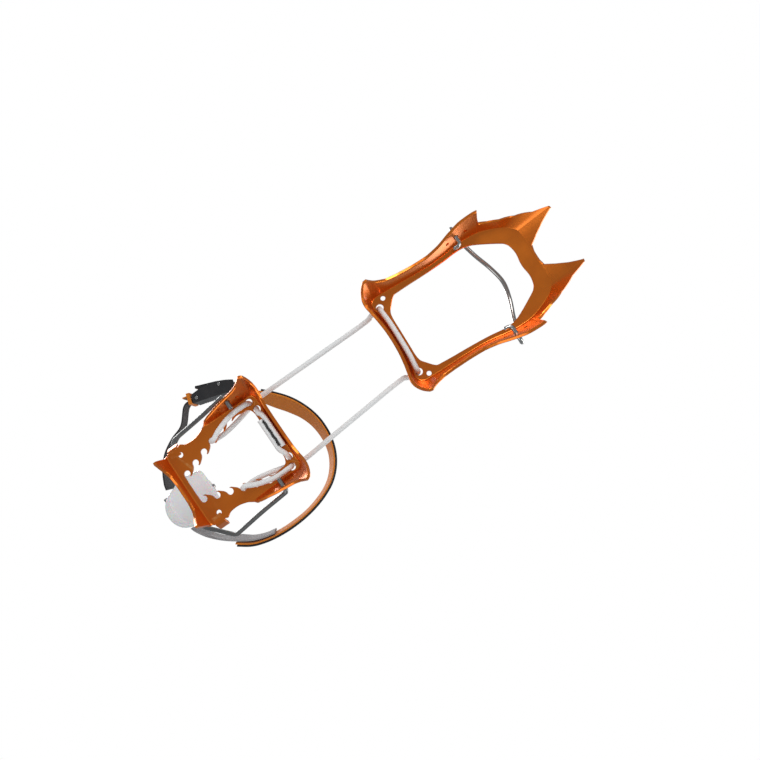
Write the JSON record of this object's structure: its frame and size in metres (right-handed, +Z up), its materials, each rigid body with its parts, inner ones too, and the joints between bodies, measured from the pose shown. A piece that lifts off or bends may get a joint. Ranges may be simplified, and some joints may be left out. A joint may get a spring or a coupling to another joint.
{
  "type": "crampon",
  "caption": "Light hiking crampon: pressed aluminium front and heel sections linked by a cord, with wire toe and heel bails, a heel lever and an ankle strap.",
  "frame": {"origin": "on the ground under the middle of the overall box, with the object standing on its points", "axes": "+X to the boot's toe, +Y to the wearer's left, +Z up"},
  "size_m": [0.3788, 0.1412, 0.1072],
  "materials": {
    "orange_aluminium": "anodised, satin to semi-gloss",
    "steel_wire": "polished spring steel",
    "grey_wire": "matt spring steel",
    "lever_plastic": "milky translucent",
    "black_plastic": "fine satin",
    "orange_fabric": "woven webbing",
    "black_fabric": "woven webbing",
    "grey_fabric": "woven webbing",
    "white_cord": "braided",
    "black_thread": "sewn thread"
  },
  "bodies": {
    "heel_section": {"heel_frame": "orange_aluminium", "cord_heel_left": "white_cord", "cord_heel_right": "white_cord", "splice_thread": "black_thread"},
    "cord_span": {"cord_run_left": "white_cord", "cord_run_right": "white_cord"},
    "front_section": {"front_frame": "orange_aluminium", "cord_front": "white_cord"},
    "toe_bail": {"toe_bail": "steel_wire"},
    "heel_bail": {"heel_bail": "grey_wire"},
    "heel_lever": {"heel_lever": "lever_plastic", "orange_webbing": "orange_fabric", "black_webbing": "black_fabric", "grey_webbing": "grey_fabric", "right_webbing": "black_fabric", "lever_webbing": "black_fabric", "buckle_body": "black_plastic", "buckle_pin": "steel_wire", "buckle_bar": "steel_wire", "tail_loop": "orange_fabric"},
    "buckle_cam": {"buckle_cam": "black_plastic"},
    "adjuster": {"adjuster_screw": "steel_wire", "adjuster_wheel": "black_plastic"},
    "welt_block": {"welt_block": "black_plastic"}
  },
  "joints": [
    {"name": "cord_flex_rear", "type": "hinge", "parent": "heel_section", "child": "cord_span", "pos_m": [-0.0659, 0.0042, 0.0346], "axis": [0, 1, 0], "range_deg": [-55, 15]},
    {"name": "cord_flex_front", "type": "hinge", "parent": "cord_span", "child": "front_section", "pos_m": [0.02831, 0.00023, 0.0331], "axis": [-0.0593, 0.9982, 0], "range_deg": [-60, 20]},
    {"name": "toe_bail_swing", "type": "hinge", "parent": "front_section", "child": "toe_bail", "pos_m": [0.11766, 0.00553, 0.0165], "axis": [-0.0593, 0.9982, 0], "range_deg": [-45, 35]},
    {"name": "heel_bail_swing", "type": "hinge", "parent": "heel_section", "child": "heel_bail", "pos_m": [-0.0909, 0.0042, 0.0175], "axis": [0, 1, 0], "range_deg": [-35, 20]},
    {"name": "heel_lever_swing", "type": "hinge", "parent": "heel_bail", "child": "heel_lever", "pos_m": [-0.1699, 0.0042, 0.0835], "axis": [0, 1, 0], "range_deg": [-75, 5]},
    {"name": "buckle_cam_swing", "type": "hinge", "parent": "heel_lever", "child": "buckle_cam", "pos_m": [-0.09614, -0.06052, 0.0945], "axis": [0, 0, 1], "range_deg": [0, 75]},
    {"name": "adjuster_turn", "type": "hinge", "parent": "heel_lever", "child": "adjuster", "pos_m": [-0.1559, 0.0042, 0.0925], "axis": [1, 0, 0], "range_deg": [-540, 540]},
    {"name": "welt_block_slide", "type": "slide", "parent": "heel_lever", "child": "welt_block", "axis": [1, 0, 0], "range_m": [-0.0015, 0.0015]}
  ],
  "couplings": [
    {"joint": "adjuster_turn", "follows": "welt_block_slide", "rad_per_m": 6283.2}
  ]
}
